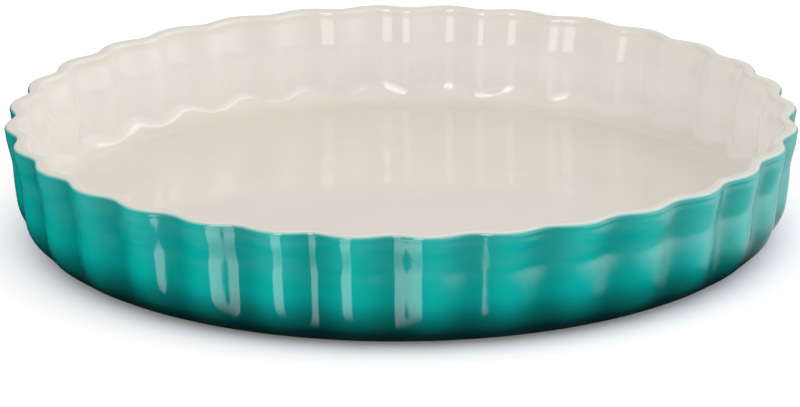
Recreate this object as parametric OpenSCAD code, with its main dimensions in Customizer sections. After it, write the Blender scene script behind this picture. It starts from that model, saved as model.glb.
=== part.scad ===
// Fluted tart dish of glazed stoneware.
// A pressed stoneware body carries three coats of fired glaze: cream inside and over the rim,
// teal outside, and teal again on the base inside the bare foot ring. The origin is on the
// table plane at the centre of the dish, +Z up, and a flute crest lies on +X.

/* [Dish] */
// Outside diameter of the rim, from flute crest to flute crest
rim_d = 280; // [240:1:320]
// Height from the table to the top of the rim
height = 43; // [40:0.5:50]
// Depth of the flat floor below the top of the rim
inside_depth = 34.2; // [32:0.1:36]
// Thickness of the fluted wall, with both glazes
wall_t = 5; // [4.4:0.1:6]

/* [Flutes] */
// Number of flutes around the wall
flutes = 32; // [24:4:40]
// Depth of a flute, from crest to valley
flute_depth = 3.1; // [2:0.1:4]
// How much tighter the valleys are than the crests, as a share of the wave
valley_tightness = 0.08; // [0:0.005:0.12]
// Depth below the rim at which the flutes start to fade out towards the foot
flute_fade_top = 29; // [22:0.5:30]

/* [Rim and collar] */
// Radius of the rounding on both edges of the rim
lip_r = 1.8; // [1.2:0.1:2]
// Height of the upright band at the top of the collar
collar_band_h = 4; // [2.5:0.1:5]
// Depth below the rim at which the collar has met the wall, outside
collar_h = 15; // [12:0.5:18]
// Depth below the rim at which the collar has met the wall, inside
inner_collar_h = 13.5; // [10:0.5:18]
// How far the wall steps in below the collar
collar_step = 2.3; // [1:0.1:3.5]
// How far the wall leans in over its whole height
wall_draft = 1.2; // [0.5:0.1:2]

/* [Corner and foot] */
// Depth below the rim at which the wall starts to curve under
corner_top = 24; // [20:0.5:26]
// How far the outside corner curves in
corner_w = 16.5; // [12:0.5:20]
// Roundness of the outside corner, where 2 is an ellipse and more is squarer
corner_squareness = 2.3; // [2:0.1:3]
// Radius of the inside corner between the wall and the floor
fillet_r = 8; // [5:0.5:10]
// Outside diameter of the bare foot ring
foot_d = 242; // [200:1:244]
// Width of the foot ring's flat face
foot_w = 6; // [4:0.5:8]
// Height of the recess inside the foot ring
recess_h = 2; // [1:0.1:2.5]

/* [Glaze] */
// Thickness of each fired glaze
glaze_t = 0.5; // [0.3:0.05:0.8]
// Width of the bare band that is left between the base glaze and the foot ring
wiped_band = 2; // [1:0.5:5]

/* [Hidden] */
// Straight facets along each flute
facets = 6;
cols = flutes * facets;
// Facets down the collar's slope outside and inside, round the outside corner and the inside one
slope_steps = 2;
inner_slope_steps = 3;
corner_steps = 4;
fillet_steps = 2;

rim_r = rim_d / 2 - flute_depth / 2 * (1 - valley_tightness);
// A third of the wall's lean is in the upright band, and the rest is in the wall below the collar
band_draft = wall_draft / 3;
lower_draft = wall_draft - band_draft;
corner_h = height - corner_top;
corner_r = rim_r - collar_step - wall_draft - corner_w;
foot_r = foot_d / 2;
foot_bevel = 0.6;
// The recess is narrower at its top than at the table by this on the radius
recess_slope = recess_h / 2;
recess_r = foot_r - foot_w - recess_slope;
// The teal glaze ends on the corner at this height, just above the foot ring
glaze_end_z = 0.9;
// The two glazes meet this far round the rim's outer edge, measured up from level
lip_break = 50;

function clamp01(x) = min(1, max(0, x));
function smooth(x) = let (c = clamp01(x)) c * c * (3 - 2 * c);
// Half straight and half smooth, so that it starts and ends at the lean of the wall beside it
function slope(x) = (clamp01(x) + smooth(x)) / 2;

// Height of the flute wave at an angle round the dish: about 1 on a crest and -1 in a valley
function wave(angle) = cos(flutes * angle) - valley_tightness * cos(2 * flutes * angle);

// Mean outside radius at a depth below the rim, down to the start of the corner
function outer_r(depth) = rim_r
    - band_draft * clamp01(depth / collar_band_h)
    - collar_step * slope((depth - collar_band_h) / (collar_h - collar_band_h))
    - lower_draft * clamp01((depth - collar_h) / (corner_top - collar_h));

// Mean inside radius: it steps in straight from the rim's rounding, and leans in all the way
function inner_r(depth) = rim_r - wall_t
    - collar_step * smooth((depth - lip_r) / (inner_collar_h - lip_r))
    - wall_draft * clamp01((depth - lip_r) / (corner_top - lip_r));

// Half the flute depth at a depth below the rim, outside: it fades out round the corner
function outer_amp(depth) =
    flute_depth / 2 * (1 - smooth((depth - flute_fade_top) / (height - flute_fade_top)));

// Half the flute depth inside: it fades out round the inside corner
function inner_amp(depth) = flute_depth / 2 * (1 - smooth((depth - fillet_top) / fillet_r));

// A station is [mean radius, height, half flute depth]. Skin is how far inside the glazed
// surface it lies: 0 on the glaze and glaze_t on the stoneware under it.
function lip_outer(angle, skin) = [
    rim_r - lip_r + (lip_r - skin) * cos(angle),
    height - lip_r + (lip_r - skin) * sin(angle),
    outer_amp(0)];

function lip_inner(angle, skin) = [
    rim_r - wall_t + lip_r - (lip_r - skin) * cos(angle),
    height - lip_r + (lip_r - skin) * sin(angle),
    outer_amp(0)];

function outer_wall(depth, skin) = [outer_r(depth) - skin, height - depth, outer_amp(depth)];

function inner_wall(depth, skin) = [inner_r(depth) + skin, height - depth, inner_amp(depth)];

// Point on the outside corner, from 0 at the wall to 90 at the table
function corner(angle, skin) = let (
        across = pow(cos(angle), 2 / corner_squareness),
        down = pow(sin(angle), 2 / corner_squareness),
        depth = corner_top + corner_h * down)
    [corner_r + (corner_w - skin) * across, height - depth + skin * down, outer_amp(depth)];

// The corner's angle at which the teal glaze ends
corner_end = asin(pow(1 - glaze_end_z / corner_h, corner_squareness / 2));

// The inside corner's arc starts on the wall and ends on the floor
fillet_top = inside_depth - fillet_r;
fillet_c = inner_r(fillet_top) - fillet_r;
function fillet(angle, skin) = [
    fillet_c + (fillet_r + skin) * cos(angle),
    height - fillet_top - (fillet_r + skin) * sin(angle),
    inner_amp(fillet_top + fillet_r * sin(angle))];

// Stations down the outside, from the rim's outer edge to the end of the teal glaze
function outside(skin) = concat(
    [lip_outer(0, skin)],
    [for (i = [0 : slope_steps])
        outer_wall(collar_band_h + (collar_h - collar_band_h) * i / slope_steps, skin)],
    [for (i = [0 : corner_steps]) corner(corner_end * i / corner_steps, skin)]);

// Stations up the inside, from the edge of the flat floor to where the glazes meet on the rim
function inside(skin) = concat(
    [for (i = [0 : fillet_steps]) fillet(90 - 90 * i / fillet_steps, skin)],
    [for (i = [0 : inner_slope_steps - 1])
        inner_wall(inner_collar_h - (inner_collar_h - lip_r) * i / inner_slope_steps, skin)],
    [lip_inner(0, skin), lip_inner(90, skin), lip_outer(90, skin), lip_outer(lip_break, skin)]);

// Stations below the teal glaze, down to the table at the outside of the foot ring
function foot_edge() = [[foot_r + foot_bevel, foot_bevel, 0], [foot_r, 0, 0]];

function reversed(list) = [for (i = [len(list) - 1 : -1 : 0]) list[i]];

// Sweeps stations round the dish with the flute wave on each. A ring closes on itself, and
// anything else is capped flat across its first and last stations.
module swept(stations, ring = false) {
    count = len(stations);
    bands = ring ? count : count - 1;
    points = [
        for (s = stations)
            for (j = [0 : cols - 1])
                let (angle = 360 * j / cols, r = s[0] + s[2] * wave(angle))
                    [r * cos(angle), r * sin(angle), s[1]]];
    sides = [
        for (i = [0 : bands - 1])
            for (j = [0 : cols - 1])
                let (
                    a = i * cols + j,
                    b = i * cols + (j + 1) % cols,
                    c = (i + 1) % count * cols + (j + 1) % cols,
                    d = (i + 1) % count * cols + j)
                    each [[a, b, c], [a, c, d]]];
    first_cap = [for (j = [cols - 1 : -1 : 0]) j];
    last_cap = [for (j = [0 : cols - 1]) (count - 1) * cols + j];
    polyhedron(points, ring ? sides : concat(sides, [first_cap, last_cap]));
}

// The fired clay: floor, fluted wall, rim and foot ring in one pressing
module stoneware_body()
    color([0.80, 0.72, 0.60])
        difference() {
            swept(concat(inside(glaze_t), outside(glaze_t), foot_edge()));
            translate([0, 0, -recess_h])
                cylinder(r1 = recess_r + 2 * recess_slope, r2 = recess_r, h = 2 * recess_h, $fn = 96);
        }

// The cream coat over the floor, the inside of the wall and the top of the rim
module cream_inner_glaze()
    color([0.88, 0.85, 0.79])
        swept(concat(inside(0), reversed(inside(glaze_t))));

// The teal coat down the outside of the wall and round the corner, open above and below
module teal_outer_glaze()
    color([0.0, 0.58, 0.54])
        swept(concat(
            [lip_outer(lip_break, 0)],
            outside(0),
            reversed(outside(glaze_t)),
            [lip_outer(lip_break, glaze_t)]), ring = true);

// The teal coat on the underside, inside the foot ring
module teal_base_glaze()
    color([0.0, 0.48, 0.45])
        translate([0, 0, recess_h - glaze_t])
            cylinder(r = recess_r - wiped_band, h = glaze_t, $fn = 96);

stoneware_body();
cream_inner_glaze();
teal_outer_glaze();
teal_base_glaze();
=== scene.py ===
# A fluted tart dish of glazed stoneware, dressed over its CAD frame. All lengths are in metres,
# +Z is up, the dish stands on z = 0 round the Z axis, and a flute crest lies on +X.
import math

import bmesh
import bpy
from mathutils import Matrix, Vector


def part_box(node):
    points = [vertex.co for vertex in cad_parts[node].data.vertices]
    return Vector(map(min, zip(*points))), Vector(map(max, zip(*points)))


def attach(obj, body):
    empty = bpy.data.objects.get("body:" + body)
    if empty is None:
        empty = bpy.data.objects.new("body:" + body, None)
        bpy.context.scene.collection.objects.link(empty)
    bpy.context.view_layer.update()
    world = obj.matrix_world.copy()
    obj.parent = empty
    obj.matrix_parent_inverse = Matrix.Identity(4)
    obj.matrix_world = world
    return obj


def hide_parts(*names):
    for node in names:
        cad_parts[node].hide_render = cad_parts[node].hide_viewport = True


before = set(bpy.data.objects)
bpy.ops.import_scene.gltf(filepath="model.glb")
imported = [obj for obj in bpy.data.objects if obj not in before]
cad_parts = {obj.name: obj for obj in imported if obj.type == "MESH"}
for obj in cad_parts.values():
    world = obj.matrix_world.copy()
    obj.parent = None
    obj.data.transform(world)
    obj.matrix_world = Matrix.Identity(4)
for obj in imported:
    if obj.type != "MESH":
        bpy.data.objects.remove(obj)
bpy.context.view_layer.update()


# ---------------------------------------------------------------------------------------------
# Stoneware body
# One piece of buff stoneware, pressed in a mould and fired hard: floor, fluted wall, rim and
# foot ring. Glaze covers it, but for the ring it stands on and a wiped band inside the ring.

FLUTES = 32
VALLEY_TIGHTNESS = 0.08
HALF_FLUTE = 0.00155
FLUTE_FADE_TOP = 0.029
GLAZE_T = 0.0005

crest_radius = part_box("teal_outer_glaze")[1].x
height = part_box("cream_inner_glaze")[1].z
inside_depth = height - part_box("cream_inner_glaze")[0].z - GLAZE_T
rim_r = crest_radius - HALF_FLUTE * (1 - VALLEY_TIGHTNESS)

WALL_T = 0.005
LIP_R = 0.0018
BAND_H = 0.004
BAND_DRAFT = 0.0004
COLLAR_H = 0.015
INNER_COLLAR_H = 0.0135
COLLAR_STEP = 0.0023
LOWER_DRAFT = 0.0008
CORNER_TOP = 0.024
CORNER_W = 0.0165
CORNER_SQUARENESS = 2.3
FILLET_R = 0.008
corner_h = height - CORNER_TOP
corner_r = rim_r - COLLAR_STEP - BAND_DRAFT - LOWER_DRAFT - CORNER_W

FOOT_R = 0.121
FOOT_W = 0.006
FOOT_BEVEL = 0.0006
GLAZE_END_Z = 0.0009
recess_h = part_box("teal_base_glaze")[1].z
recess_r = FOOT_R - FOOT_W - recess_h / 2

# The two glazes meet this far round the rim's outer edge, measured up from level
LIP_BREAK = math.radians(50)


def smooth(share):
    share = min(1, max(0, share))
    return share * share * (3 - 2 * share)


# Half straight and half smooth, so that it starts and ends at the lean of the wall beside it
def collar(depth):
    share = min(1, max(0, (depth - BAND_H) / (COLLAR_H - BAND_H)))
    return (share + smooth(share)) / 2


# Below the collar the lean grows a little on its way down to the corner
def outer_r(depth):
    lower = min(1, max(0, (depth - COLLAR_H) / (CORNER_TOP - COLLAR_H)))
    lower = (lower + lower * lower) / 2
    return (rim_r - BAND_DRAFT * min(1, depth / BAND_H) - COLLAR_STEP * collar(depth)
            - LOWER_DRAFT * lower)


def outer_wave(depth):
    return HALF_FLUTE * (1 - smooth((depth - FLUTE_FADE_TOP) / (height - FLUTE_FADE_TOP)))


# The inside steps in straight from the rim's rounding, and leans in all the way
def inner_r(depth):
    step = smooth((depth - LIP_R) / (INNER_COLLAR_H - LIP_R))
    lean = min(1, (depth - LIP_R) / (CORNER_TOP - LIP_R))
    return rim_r - WALL_T - COLLAR_STEP * step - (BAND_DRAFT + LOWER_DRAFT) * lean


fillet_top = inside_depth - FILLET_R
fillet_centre = inner_r(fillet_top) - FILLET_R


def inner_wave(depth):
    return HALF_FLUTE * (1 - smooth((depth - fillet_top) / FILLET_R))


def shares(steps):
    return [i / steps for i in range(steps + 1)]


# A station is (mean radius, height, half flute depth). Skin is how far under the glaze's own
# surface it lies: 0 on the glaze, GLAZE_T on the clay.
def lip_outer(angle, skin):
    reach = LIP_R - skin
    return rim_r - LIP_R + reach * math.cos(angle), height - LIP_R + reach * math.sin(angle), HALF_FLUTE


def lip_inner(angle, skin):
    reach = LIP_R - skin
    return (rim_r - WALL_T + LIP_R - reach * math.cos(angle),
            height - LIP_R + reach * math.sin(angle), HALF_FLUTE)


def corner(angle, skin):
    across = math.cos(angle) ** (2 / CORNER_SQUARENESS)
    down = math.sin(angle) ** (2 / CORNER_SQUARENESS)
    depth = CORNER_TOP + corner_h * down
    # The corner takes over the lean that the wall ends with, and loses it on the way round
    wall_lean = 1.5 * LOWER_DRAFT / (CORNER_TOP - COLLAR_H)
    lean = wall_lean * corner_h * down * (1 - down) ** 2
    return (corner_r + (CORNER_W - skin) * across - lean, height - depth + skin * down,
            outer_wave(depth))


def fillet(angle, skin):
    reach = FILLET_R + skin
    return (fillet_centre + reach * math.cos(angle), height - fillet_top - reach * math.sin(angle),
            inner_wave(fillet_top + FILLET_R * math.sin(angle)))


def outside(skin):
    depths = [LIP_R + (BAND_H - LIP_R) * s for s in shares(3)[1:]]
    depths += [BAND_H + (COLLAR_H - BAND_H) * s for s in shares(14)[1:]]
    depths += [COLLAR_H + (CORNER_TOP - COLLAR_H) * s for s in shares(6)[1:-1]]
    corner_end = math.asin((1 - GLAZE_END_Z / corner_h) ** (CORNER_SQUARENESS / 2))
    return ([lip_outer(LIP_BREAK * (1 - s), skin) for s in shares(4)[1:]]
            + [(outer_r(d) - skin, height - d, outer_wave(d)) for d in depths]
            + [corner(corner_end * s, skin) for s in shares(24)])


def inside(skin):
    depths = [fillet_top + (INNER_COLLAR_H - fillet_top) * s for s in shares(6)[1:]]
    depths += [INNER_COLLAR_H + (LIP_R - INNER_COLLAR_H) * s for s in shares(16)[1:-1]]
    quarter = math.pi / 2
    return ([(fillet_centre * s, height - inside_depth - skin, 0) for s in shares(14)[1:-1]]
            + [fillet(quarter * (1 - s), skin) for s in shares(16)]
            + [(inner_r(d) + skin, height - d, inner_wave(d)) for d in depths]
            + [lip_inner(quarter * s, skin) for s in shares(8)]
            + [lip_outer(quarter + (LIP_BREAK - quarter) * s, skin) for s in shares(5)])


# Sweeps stations round the dish with the flute wave on each. A ring closes on itself, and
# anything else is capped at its first and last stations. Edges over 35 degrees stay sharp.
def swept(name, stations, ring=False):
    columns = FLUTES * 16
    mesh = bmesh.new()
    rings = []
    for radius, z, half_depth in stations:
        points = []
        for column in range(columns):
            angle = 2 * math.pi * column / columns
            wave = math.cos(FLUTES * angle) - VALLEY_TIGHTNESS * math.cos(2 * FLUTES * angle)
            r = radius + half_depth * wave
            points.append(mesh.verts.new((r * math.cos(angle), r * math.sin(angle), z)))
        rings.append(points)
    follow = rings[1:] + rings[:1] if ring else rings[1:]
    for low, high in zip(rings, follow):
        for column in range(columns):
            after = (column + 1) % columns
            mesh.faces.new((low[after], low[column], high[column], high[after]))
    if not ring:
        mesh.faces.new(rings[0])
        mesh.faces.new(reversed(rings[-1]))
    bmesh.ops.recalc_face_normals(mesh, faces=mesh.faces)
    for face in mesh.faces:
        face.smooth = True
    for edge in mesh.edges:
        edge.smooth = edge.calc_face_angle(0) < math.radians(35)
    data = bpy.data.meshes.new(name)
    mesh.to_mesh(data)
    mesh.free()
    piece = bpy.data.objects.new(name, data)
    bpy.context.scene.collection.objects.link(piece)
    return piece


# Down the ring's outside edge, across its flat, up into the recess and in to the middle
def foot():
    worn = 0.0003
    inner = FOOT_R - FOOT_W
    return [(FOOT_R + FOOT_BEVEL, FOOT_BEVEL, 0),
            (FOOT_R + FOOT_BEVEL / 2, worn * 0.6, 0),
            (FOOT_R - worn, 0, 0),
            (inner + worn, 0, 0),
            (inner - worn / 3, worn / 2, 0),
            (recess_r, recess_h, 0)] + [(recess_r * (1 - s), recess_h, 0) for s in shares(10)[1:-1]]


# Adds a node, with its settings by name and its inputs by socket: a value, or a link
def node(tree, kind, inputs=None, **settings):
    made = tree.nodes.new(kind)
    for name, value in settings.items():
        setattr(made, name, value)
    for socket, value in (inputs or {}).items():
        if isinstance(value, bpy.types.NodeSocket):
            tree.links.new(value, made.inputs[socket])
        else:
            made.inputs[socket].default_value = value
    return made


def maths(tree, operation, *values):
    return node(tree, "ShaderNodeMath", dict(enumerate(values)), operation=operation).outputs[0]


# 0 at the first value, 1 at the second, with a soft start and finish
def ease(tree, value, start, finish):
    return node(tree, "ShaderNodeMapRange",
                {"Value": value, "From Min": start, "From Max": finish},
                interpolation_type="SMOOTHSTEP").outputs[0]


def mixed(tree, share, first, second):
    made = node(tree, "ShaderNodeMix", data_type="RGBA")
    for socket, value in ((0, share), (6, first), (7, second)):
        if isinstance(value, bpy.types.NodeSocket):
            tree.links.new(value, made.inputs[socket])
        else:
            made.inputs[socket].default_value = value
    return made.outputs[2]


def noise(tree, position, per_metre, detail, roughness=0.5):
    return node(tree, "ShaderNodeTexNoise",
                {"Vector": position, "Scale": per_metre, "Detail": detail,
                 "Roughness": roughness}).outputs["Fac"]


# A spot's distance from the dish's axis
def off_axis(tree, away):
    x, y = away.outputs[0], away.outputs[1]
    return maths(tree, "SQRT", maths(tree, "ADD", maths(tree, "MULTIPLY", x, x),
                                     maths(tree, "MULTIPLY", y, y)))


def new_material(name):
    material = bpy.data.materials.new(name)
    material.use_nodes = True
    tree = material.node_tree
    tree.nodes.clear()
    shader = node(tree, "ShaderNodeBsdfPrincipled")
    node(tree, "ShaderNodeOutputMaterial", {"Surface": shader.outputs[0]})
    position = node(tree, "ShaderNodeTexCoord").outputs["Object"]
    return material, tree, shader, position


def bare_stoneware():
    material, tree, shader, position = new_material("bare_stoneware")
    away = node(tree, "ShaderNodeSeparateXYZ", {0: position})
    radius = off_axis(tree, away)
    grain = noise(tree, position, 2600, 3, 0.6)
    cloud = noise(tree, position, 90, 4, 0.55)
    clay = mixed(tree, grain, (0.62, 0.50, 0.37, 1), (0.80, 0.70, 0.56, 1))
    clay = mixed(tree, maths(tree, "MULTIPLY", ease(tree, cloud, 0.35, 0.75), 0.3), clay,
                 (0.70, 0.56, 0.42, 1))
    # The kiln toasts the clay where the glaze stops beside it
    off_ring = maths(tree, "ABSOLUTE", maths(tree, "SUBTRACT", radius, FOOT_R - FOOT_W / 2))
    toast = maths(tree, "MULTIPLY", ease(tree, off_ring, FOOT_W * 0.3, FOOT_W * 0.75), 0.55)
    clay = mixed(tree, toast, clay, (0.46, 0.29, 0.17, 1))
    # Iron in the clay burns to small brown specks
    specks = node(tree, "ShaderNodeTexVoronoi", {"Vector": position, "Scale": 620.0})
    speck = maths(tree, "MULTIPLY", ease(tree, specks.outputs["Distance"], 0.17, 0.08),
                  maths(tree, "GREATER_THAN", noise(tree, position, 210, 0), 0.55))
    clay = mixed(tree, maths(tree, "MULTIPLY", speck, 0.7), clay, (0.16, 0.09, 0.05, 1))
    # Oven shelves rub grey marks on the flat of the ring
    rub = maths(tree, "MULTIPLY", ease(tree, noise(tree, position, 160, 5, 0.65), 0.52, 0.66),
                ease(tree, away.outputs[2], 0.00012, 0.00002))
    clay = mixed(tree, maths(tree, "MULTIPLY", rub, 0.45), clay, (0.34, 0.33, 0.32, 1))
    tree.links.new(clay, shader.inputs["Base Color"])
    tree.links.new(maths(tree, "SUBTRACT", 0.9, maths(tree, "MULTIPLY", rub, 0.25)),
                   shader.inputs["Roughness"])
    bump = node(tree, "ShaderNodeBump", {"Height": grain, "Strength": 0.6, "Distance": 0.0002})
    tree.links.new(bump.outputs[0], shader.inputs["Normal"])
    return material


clay_body = swept("clay_body", inside(GLAZE_T) + outside(GLAZE_T) + foot())
clay_body.data.materials.append(bare_stoneware())
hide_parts("stoneware_body")
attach(clay_body, "root")


# ---------------------------------------------------------------------------------------------
# Cream glaze
# The inside is flooded with cream glaze, which runs up the wall and over the rim and is fired
# to glass. It lies thick and even, and thins over the rim, most of all at its outer edge.

# Where a spot lies on the flutes: 1 on a crest and 0 in a valley, and its radius without them
def fluted_form_group():
    group = bpy.data.node_groups.new("Fluted form", "ShaderNodeTree")
    face = group.interface
    face.new_socket("Position", in_out="INPUT", socket_type="NodeSocketVector")
    face.new_socket("Flutes", in_out="INPUT", socket_type="NodeSocketFloat")
    face.new_socket("Half Depth", in_out="INPUT", socket_type="NodeSocketFloat")
    face.new_socket("Crest", in_out="OUTPUT", socket_type="NodeSocketFloat")
    face.new_socket("Plain Radius", in_out="OUTPUT", socket_type="NodeSocketFloat")
    given = node(group, "NodeGroupInput")
    away = node(group, "ShaderNodeSeparateXYZ", {0: given.outputs["Position"]})
    radius = off_axis(group, away)
    angle = maths(group, "ARCTAN2", away.outputs[1], away.outputs[0])
    wave = maths(group, "COSINE", maths(group, "MULTIPLY", angle, given.outputs["Flutes"]))
    crest = maths(group, "MULTIPLY_ADD", wave, 0.5, 0.5)
    plain = maths(group, "SUBTRACT", radius,
                  maths(group, "MULTIPLY", wave, given.outputs["Half Depth"]))
    node(group, "NodeGroupOutput", {"Crest": crest, "Plain Radius": plain})
    return group


# The fired surface: Height is the faint orange peel of glaze that has flowed, Tone is its
# cloudy change of colour, and Pinholes are the small pits where gas came through
def fired_surface_group():
    group = bpy.data.node_groups.new("Fired surface", "ShaderNodeTree")
    face = group.interface
    face.new_socket("Position", in_out="INPUT", socket_type="NodeSocketVector")
    face.new_socket("Peel Per Metre", in_out="INPUT", socket_type="NodeSocketFloat")
    face.new_socket("Clouds Per Metre", in_out="INPUT", socket_type="NodeSocketFloat")
    face.new_socket("Pinholes Per Metre", in_out="INPUT", socket_type="NodeSocketFloat")
    face.new_socket("Height", in_out="OUTPUT", socket_type="NodeSocketFloat")
    face.new_socket("Tone", in_out="OUTPUT", socket_type="NodeSocketFloat")
    face.new_socket("Pinholes", in_out="OUTPUT", socket_type="NodeSocketFloat")
    given = node(group, "NodeGroupInput")
    position = given.outputs["Position"]
    peel = noise(group, position, given.outputs["Peel Per Metre"], 1.5, 0.4)
    clouds = noise(group, position, given.outputs["Clouds Per Metre"], 4, 0.5)
    cells = node(group, "ShaderNodeTexVoronoi",
                 {"Vector": position, "Scale": given.outputs["Pinholes Per Metre"]})
    few = maths(group, "GREATER_THAN",
                noise(group, position, given.outputs["Pinholes Per Metre"], 0), 0.64)
    pits = maths(group, "MULTIPLY", ease(group, cells.outputs["Distance"], 0.07, 0.02), few)
    height = maths(group, "SUBTRACT", peel, maths(group, "MULTIPLY", pits, 0.8))
    node(group, "NodeGroupOutput", {"Height": height, "Tone": clouds, "Pinholes": pits})
    return group


fluted_form = fluted_form_group()
fired_surface = fired_surface_group()


def scaled(tree, colour, share):
    return node(tree, "ShaderNodeVectorMath", {0: colour, "Scale": share},
                operation="SCALE").outputs[0]


def cream_glaze():
    material, tree, shader, position = new_material("cream_glaze")
    form = node(tree, "ShaderNodeGroup", node_tree=fluted_form)
    surface = node(tree, "ShaderNodeGroup", node_tree=fired_surface)
    for group in (form, surface):
        tree.links.new(position, group.inputs["Position"])
    form.inputs["Flutes"].default_value = FLUTES
    form.inputs["Half Depth"].default_value = HALF_FLUTE
    surface.inputs["Peel Per Metre"].default_value = 170
    surface.inputs["Clouds Per Metre"].default_value = 26
    surface.inputs["Pinholes Per Metre"].default_value = 130
    z = node(tree, "ShaderNodeSeparateXYZ", {0: position}).outputs[2]
    # The wall fires a little cooler in colour than the floor, where the glaze lies thicker. The collar,
    # which leans up to the light, is painted a shade darker: painted shade against the extra light it
    # catches
    floor_z = height - inside_depth
    floor_cream, wall_cream = (0.800, 0.728, 0.655, 1), (0.815, 0.798, 0.742, 1)
    shaded_collar_cream = (0.745, 0.724, 0.664, 1)
    cream = mixed(tree, ease(tree, z, floor_z, floor_z + 0.006), floor_cream, wall_cream)
    # Painted shade over the collar, full from 8.5 mm below the rim upwards
    collar_shade = ease(tree, z, height - 0.0165, height - 0.0085)
    cream = mixed(tree, collar_shade, cream, shaded_collar_cream)
    cream = scaled(tree, cream, maths(tree, "MULTIPLY_ADD", surface.outputs["Tone"], 0.12, 0.94))
    # Over the rim the glaze thins, most of all at its outer edge, and the clay warms it. The darker
    # colour over the whole top of the rim is also painted shade, which keeps the upward-facing lip from
    # lighting brighter than the floor
    rim_top_thin_and_shade = ease(tree, z, height - LIP_R * 1.3, height - LIP_R * 0.5)
    outer_edge = ease(tree, form.outputs["Plain Radius"], rim_r - 0.0012, rim_r - 0.0004)
    thin = maths(tree, "MULTIPLY", rim_top_thin_and_shade, maths(tree, "MULTIPLY_ADD", outer_edge, 0.15, 0.15))
    cream = mixed(tree, thin, cream, (0.66, 0.52, 0.42, 1))
    cream = mixed(tree, maths(tree, "MULTIPLY", surface.outputs["Pinholes"], 0.25), cream,
                  (0.42, 0.33, 0.24, 1))
    tree.links.new(cream, shader.inputs["Base Color"])
    tree.links.new(maths(tree, "MULTIPLY_ADD", surface.outputs["Tone"], 0.05, 0.04),
                   shader.inputs["Roughness"])
    bump = node(tree, "ShaderNodeBump",
                {"Height": surface.outputs["Height"], "Strength": 1.0, "Distance": 0.00005})
    tree.links.new(bump.outputs[0], shader.inputs["Normal"])
    return material


cream_coat = swept("cream_coat", inside(0) + inside(GLAZE_T)[::-1])
cream_coat.data.materials.append(cream_glaze())
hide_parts("cream_inner_glaze")
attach(cream_coat, "root")


# ---------------------------------------------------------------------------------------------
# Teal glaze
# The outside is sprayed with teal glaze from the rim's outer edge to just above the foot ring.
# It breaks pale where it thins at the rim, where the pale line is also a painted highlight, and darkens
# below, partly where more was sprayed and partly as painted shade where the corner turns under.

def teal_glaze():
    material, tree, shader, position = new_material("teal_glaze")
    form = node(tree, "ShaderNodeGroup", node_tree=fluted_form)
    surface = node(tree, "ShaderNodeGroup", node_tree=fired_surface)
    for group in (form, surface):
        tree.links.new(position, group.inputs["Position"])
    form.inputs["Flutes"].default_value = FLUTES
    form.inputs["Half Depth"].default_value = HALF_FLUTE
    surface.inputs["Peel Per Metre"].default_value = 150
    surface.inputs["Clouds Per Metre"].default_value = 34
    surface.inputs["Pinholes Per Metre"].default_value = 150
    z = node(tree, "ShaderNodeSeparateXYZ", {0: position}).outputs[2]
    # Its bands of colour wander up and down by up to 2 mm
    wander = maths(tree, "MULTIPLY_ADD", surface.outputs["Tone"], 0.004, -0.002)
    level = maths(tree, "ADD", z, wander)
    bright = (0.001, 0.325, 0.295, 1)
    deep_and_shaded_teal = (0.001, 0.118, 0.108, 1)
    dark_and_shaded_teal = (0.001, 0.022, 0.021, 1)
    # Over the collar it is thinner, and breaks to a paler teal in soft level streaks
    pale = (0.015, 0.330, 0.303, 1)
    flattened = node(tree, "ShaderNodeMapping", {"Vector": position, "Scale": (1, 1, 4)},
                     vector_type="POINT").outputs[0]
    streaks = noise(tree, flattened, 40, 2, 0.5)
    on_collar = ease(tree, level, 0.0255, 0.0300)
    collar_thin = maths(tree, "MULTIPLY", on_collar, ease(tree, streaks, 0.30, 0.62))
    bright = mixed(tree, collar_thin, bright, pale)
    # Towards the foot the teal darkens: partly a deeper glaze where more was sprayed, partly painted
    # shade where the corner turns under
    above_deep_shade = ease(tree, level, 0.0092, 0.0202)
    above_dark_shade = ease(tree, level, 0.0038, 0.0116)
    teal = mixed(tree, above_deep_shade, deep_and_shaded_teal, bright)
    teal = mixed(tree, above_dark_shade, dark_and_shaded_teal, teal)
    # The valleys are deeper in colour than the crests
    valley_darkening = maths(tree, "MULTIPLY_ADD", form.outputs["Crest"], 0.32, 0.73)
    cloudy = maths(tree, "MULTIPLY_ADD", surface.outputs["Tone"], 0.16, 0.92)
    teal = scaled(tree, teal, maths(tree, "MULTIPLY", valley_darkening, cloudy))
    # The last stretch up to the cream thins to a pale line on the rim's edge, which is also a painted
    # highlight along that edge
    thin = ease(tree, z, height - 0.0013, height - 0.0004)
    teal = mixed(tree, maths(tree, "MULTIPLY", thin, 0.7), teal, (0.50, 0.74, 0.69, 1))
    teal = mixed(tree, maths(tree, "MULTIPLY", surface.outputs["Pinholes"], 0.35), teal,
                 (0.0, 0.08, 0.08, 1))
    tree.links.new(teal, shader.inputs["Base Color"])
    tree.links.new(maths(tree, "MULTIPLY_ADD", surface.outputs["Tone"], 0.06, 0.05),
                   shader.inputs["Roughness"])
    bump = node(tree, "ShaderNodeBump",
                {"Height": surface.outputs["Height"], "Strength": 1.0, "Distance": 0.00004})
    tree.links.new(bump.outputs[0], shader.inputs["Normal"])
    return material


teal_coat = swept("teal_coat", [lip_outer(LIP_BREAK, 0)] + outside(0)
                  + outside(GLAZE_T)[::-1] + [lip_outer(LIP_BREAK, GLAZE_T)], ring=True)
teal_coat.data.materials.append(teal_glaze())
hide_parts("teal_outer_glaze")
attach(teal_coat, "root")


# ---------------------------------------------------------------------------------------------
# Base glaze
# A disc of the same teal is poured on the underside, inside the foot ring. A band beside the
# ring is wiped bare by hand before firing, so its edge wanders and is rounded.

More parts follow.
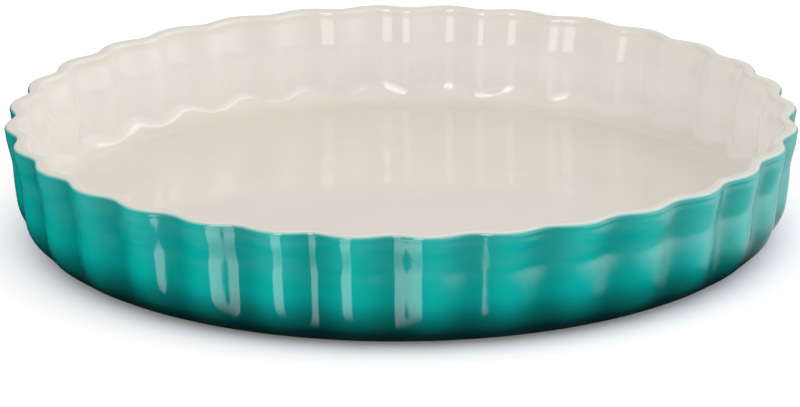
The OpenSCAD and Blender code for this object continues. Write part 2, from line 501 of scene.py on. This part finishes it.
def base_disc():
    low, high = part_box("teal_base_glaze")
    reach, columns = high.x, 360
    mesh = bmesh.new()
    rings = []
    # Each step round the edge is how far in it lies, and its share of the way down to the face
    edge = [(0.0, 0), (0.00008, 0.3), (0.0003, 0.75), (0.0007, 1)]
    steps = [(reach - inset, drop) for inset, drop in edge]
    steps += [(reach * (1 - s), 1) for s in shares(12)[1:-1]]
    for radius, drop in steps:
        points = []
        for column in range(columns):
            angle = 2 * math.pi * column / columns
            wander = (0.5 + 0.25 * math.sin(7 * angle + 0.4) + 0.15 * math.sin(17 * angle)
                      + 0.1 * math.sin(31 * angle + 1.1))
            r = radius * (1 - 0.004 * wander)
            z = high.z - (high.z - low.z) * drop
            points.append(mesh.verts.new((r * math.cos(angle), r * math.sin(angle), z)))
        rings.append(points)
    for first, second in zip(rings, rings[1:]):
        for column in range(columns):
            after = (column + 1) % columns
            mesh.faces.new((first[column], first[after], second[after], second[column]))
    mesh.faces.new(rings[-1])
    mesh.faces.new(reversed(rings[0]))
    bmesh.ops.recalc_face_normals(mesh, faces=mesh.faces)
    for face in mesh.faces:
        face.smooth = len(face.verts) == 4
    data = bpy.data.meshes.new("base_coat")
    mesh.to_mesh(data)
    mesh.free()
    piece = bpy.data.objects.new("base_coat", data)
    bpy.context.scene.collection.objects.link(piece)
    return piece


def base_glaze():
    material, tree, shader, position = new_material("base_glaze")
    surface = node(tree, "ShaderNodeGroup", node_tree=fired_surface)
    tree.links.new(position, surface.inputs["Position"])
    surface.inputs["Peel Per Metre"].default_value = 110
    surface.inputs["Clouds Per Metre"].default_value = 22
    surface.inputs["Pinholes Per Metre"].default_value = 120
    away = node(tree, "ShaderNodeSeparateXYZ", {0: position})
    radius = off_axis(tree, away)
    teal = mixed(tree, ease(tree, surface.outputs["Tone"], 0.3, 0.7),
                 (0.001, 0.115, 0.105, 1), (0.001, 0.205, 0.185, 1))
    # The glaze is thin at its wiped edge, and the clay shows through
    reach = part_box("teal_base_glaze")[1].x
    thin = ease(tree, radius, reach - 0.0016, reach - 0.0003)
    teal = mixed(tree, maths(tree, "MULTIPLY", thin, 0.6), teal, (0.30, 0.36, 0.28, 1))
    teal = mixed(tree, maths(tree, "MULTIPLY", surface.outputs["Pinholes"], 0.7), teal,
                 (0.0, 0.03, 0.03, 1))
    tree.links.new(teal, shader.inputs["Base Color"])
    tree.links.new(maths(tree, "MULTIPLY_ADD", surface.outputs["Tone"], 0.12, 0.10),
                   shader.inputs["Roughness"])
    bump = node(tree, "ShaderNodeBump",
                {"Height": surface.outputs["Height"], "Strength": 1.0, "Distance": 0.00012})
    tree.links.new(bump.outputs[0], shader.inputs["Normal"])
    return material


base_coat = base_disc()
base_coat.data.materials.append(base_glaze())
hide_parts("teal_base_glaze")
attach(base_coat, "root")


# ---------------------------------------------------------------------------------------------
# Studio
# A white floor under a soft white dome, a little brighter on the right, and a weak softbox
# overhead. The glaze also mirrors a tall softbox on the left and a broad one on the right, and
# sees both again in the polished table top.

CAMERA_TURN = math.radians(-4.02)


def studio_floor():
    mesh = bmesh.new()
    bmesh.ops.create_circle(mesh, cap_ends=True, segments=96, radius=8)
    data = bpy.data.meshes.new("studio_floor")
    mesh.to_mesh(data)
    mesh.free()
    floor = bpy.data.objects.new("studio_floor", data)
    bpy.context.scene.collection.objects.link(floor)
    material, tree, shader, position = new_material("white_floor")
    shader.inputs["Roughness"].default_value = 0.9
    shader.inputs["Specular IOR Level"].default_value = 0.0
    shader.inputs["Emission Color"].default_value = (1.0, 0.91, 0.89, 1)
    radius = node(tree, "ShaderNodeVectorMath", {0: position}, operation="LENGTH").outputs["Value"]
    # Its white is cool close to the dish, a painted blue tint for the dish's shadow, and warm past it,
    # where it evens out the teal light that the wall throws on it
    shadow_tint_white, warm_white = (0.76, 0.86, 0.93, 1), (0.990, 0.872, 0.856, 1)
    white = mixed(tree, ease(tree, radius, 0.128, 0.165), shadow_tint_white, warm_white)
    tree.links.new(white, shader.inputs["Base Color"])
    # A faint glow from the foot ring outwards keeps the dish's shadow light
    tree.links.new(maths(tree, "MULTIPLY", ease(tree, radius, 0.117, 0.143), 0.38),
                   shader.inputs["Emission Strength"])
    # In reflections the floor is clear, so that the mirrored softboxes show from below it, and
    # adds a pale glow beyond the dish's shadow, which is deepest behind it on the left
    away = node(tree, "ShaderNodeSeparateXYZ", {0: position})
    x, y = away.outputs[0], away.outputs[1]
    back_left = maths(tree, "DIVIDE", maths(tree, "SUBTRACT", y, x), radius)
    # The broad light leaves less of a shadow on its own side
    rightward = maths(tree, "MAXIMUM", maths(tree, "DIVIDE", x, radius), 0.0)
    far_right = maths(tree, "POWER", rightward, 4.0)
    lit = maths(tree, "MULTIPLY_ADD", far_right, 0.06, radius)
    pale = maths(tree, "MULTIPLY", ease(tree, lit, 0.168, 0.198), ease(tree, back_left, 1.1, 0.3))
    strength = maths(tree, "MULTIPLY", pale, maths(tree, "MULTIPLY_ADD", far_right, 0.45, 0.22))
    glow = node(tree, "ShaderNodeEmission", {"Strength": strength})
    clear = node(tree, "ShaderNodeBsdfTransparent")
    mirror = node(tree, "ShaderNodeAddShader", {0: clear.outputs[0], 1: glow.outputs[0]})
    path = node(tree, "ShaderNodeLightPath")
    seen = node(tree, "ShaderNodeMixShader",
                {0: path.outputs["Is Glossy Ray"], 1: shader.outputs[0], 2: mirror.outputs[0]})
    tree.links.new(seen.outputs[0], tree.nodes["Material Output"].inputs["Surface"])
    data.materials.append(material)
    return floor


studio_floor()


def studio_world():
    world = bpy.data.worlds.new("studio")
    world.use_nodes = True
    tree = world.node_tree
    tree.nodes.clear()
    direction = node(tree, "ShaderNodeTexCoord").outputs["Generated"]
    turned = node(tree, "ShaderNodeVectorRotate", {"Vector": direction, "Angle": -CAMERA_TURN},
                  rotation_type="Z_AXIS").outputs[0]
    way = node(tree, "ShaderNodeSeparateXYZ", {0: turned})
    # Turn is 0 towards the camera and positive to its right, and rise is up from level
    turn = maths(tree, "ARCTAN2", way.outputs[0], maths(tree, "MULTIPLY", way.outputs[1], -1))
    rise = maths(tree, "ARCSINE", way.outputs[2])
    up = ease(tree, rise, math.radians(-2), math.radians(4))

    # A light fills from its first angle to its second, and dies away from the third to the last
    def window(value, start, full, falling, end):
        return maths(tree, "MULTIPLY", ease(tree, value, math.radians(start), math.radians(full)),
                     ease(tree, value, math.radians(end), math.radians(falling)))

    def with_light(seen, turns, rises, strength):
        shape = maths(tree, "MULTIPLY", window(turn, *turns), window(rise, *rises))
        return maths(tree, "MULTIPLY_ADD", shape, strength, seen)

    # Reflections see a grey room, almost black at the back left and below level
    dim_left = window(turn, -180, -120, -120, -88)
    room = maths(tree, "MULTIPLY_ADD", up, 0.66, 0.01)
    seen = maths(tree, "MULTIPLY", room, maths(tree, "MULTIPLY_ADD", dim_left, -0.95, 1.0))
    # The tall softbox, brighter high up, and its image in the table, which lies further left
    tall_turns = (-34.8, -33.2, -12.8, -11.2)
    seen = with_light(seen, tall_turns, (0, 3, 46, 56), 2.88)
    seen = with_light(seen, tall_turns, (22, 28, 46, 54), 3.225)
    seen = with_light(seen, (-42.8, -41.2, -16.8, -15.2), (-62, -28, -3, 0), 3.6)
    # The broad one, soft at its sides, its brighter image in the table, and the strip over it
    broad_turns = (14, 72, 86, 152)
    seen = with_light(seen, broad_turns, (-4, 2, 30, 50), 1.118)
    seen = with_light(seen, broad_turns, (-31, -20, -4, 2), 2.15)
    seen = with_light(seen, (20, 40, 120, 140), (33, 36, 42, 45), 3.01)

    # The dome that lights everything is brightest at level, dimmer at the back left and brighter
    # on the right. Its light from below only reaches a dish that is lifted off the table.
    dome = maths(tree, "MULTIPLY", up, maths(tree, "MULTIPLY_ADD", way.outputs[2], -1.36, 1.79))
    dome = maths(tree, "MULTIPLY", dome, maths(tree, "MULTIPLY_ADD", dim_left, -0.2, 1.0))
    dome = maths(tree, "MULTIPLY", dome,
                 maths(tree, "MULTIPLY_ADD", window(turn, 0, 70, 120, 180), 0.2, 1.0))
    dome = maths(tree, "ADD", dome, maths(tree, "MULTIPLY_ADD", up, -0.7, 0.7))
    path = node(tree, "ShaderNodeLightPath")
    strength = node(tree, "ShaderNodeMix",
                    {0: path.outputs["Is Glossy Ray"], 2: dome, 3: seen}).outputs[0]
    # Behind everything the backdrop is plain white
    strength = node(tree, "ShaderNodeMix",
                    {0: path.outputs["Is Camera Ray"], 2: strength, 3: 1.0}).outputs[0]
    light = node(tree, "ShaderNodeBackground", {"Color": (1, 1, 1, 1), "Strength": strength})
    node(tree, "ShaderNodeOutputWorld", {"Surface": light.outputs[0]})
    bpy.context.scene.world = world


studio_world()


def overhead_softbox():
    data = bpy.data.lights.new("overhead_softbox", "AREA")
    data.shape = "RECTANGLE"
    data.size, data.size_y = 1.6, 1.2
    data.energy = 2
    light = bpy.data.objects.new("overhead_softbox", data)
    light.location = (0.0, -0.2, 1.5)
    bpy.context.scene.collection.objects.link(light)


overhead_softbox()


def studio_camera():
    data = bpy.data.cameras.new("camera")
    data.lens, data.sensor_width = 350.2, 36
    data.clip_start, data.clip_end = 0.1, 30
    camera = bpy.data.objects.new("camera", data)
    bpy.context.scene.collection.objects.link(camera)
    # It looks down from the front, with a slight roll, at a point below the rim's centre
    rise, roll, distance = math.radians(17.06), math.radians(-0.315), 2.743
    right = Vector((1, 0, 0))
    up = Vector((0, math.sin(rise), math.cos(rise)))
    ahead = Vector((0, math.cos(rise), -math.sin(rise)))
    rim_centre = Vector((0, 0, height))
    place = rim_centre - ahead * distance
    right, up = (math.cos(roll) * right + math.sin(roll) * up,
                 math.cos(roll) * up - math.sin(roll) * right)
    aim_below, aim_left = 0.0313, 0.0006
    aim = rim_centre - up * aim_below - right * aim_left
    ahead = (aim - place).normalized()
    right = (right - ahead * right.dot(ahead)).normalized()
    up = right.cross(ahead)
    look = Matrix((right, up, -ahead)).transposed().to_4x4()
    camera.matrix_world = Matrix.Rotation(CAMERA_TURN, 4, "Z") @ Matrix.Translation(place) @ look
    bpy.context.scene.camera = camera


studio_camera()
bpy.context.scene.view_settings.view_transform = "Standard"
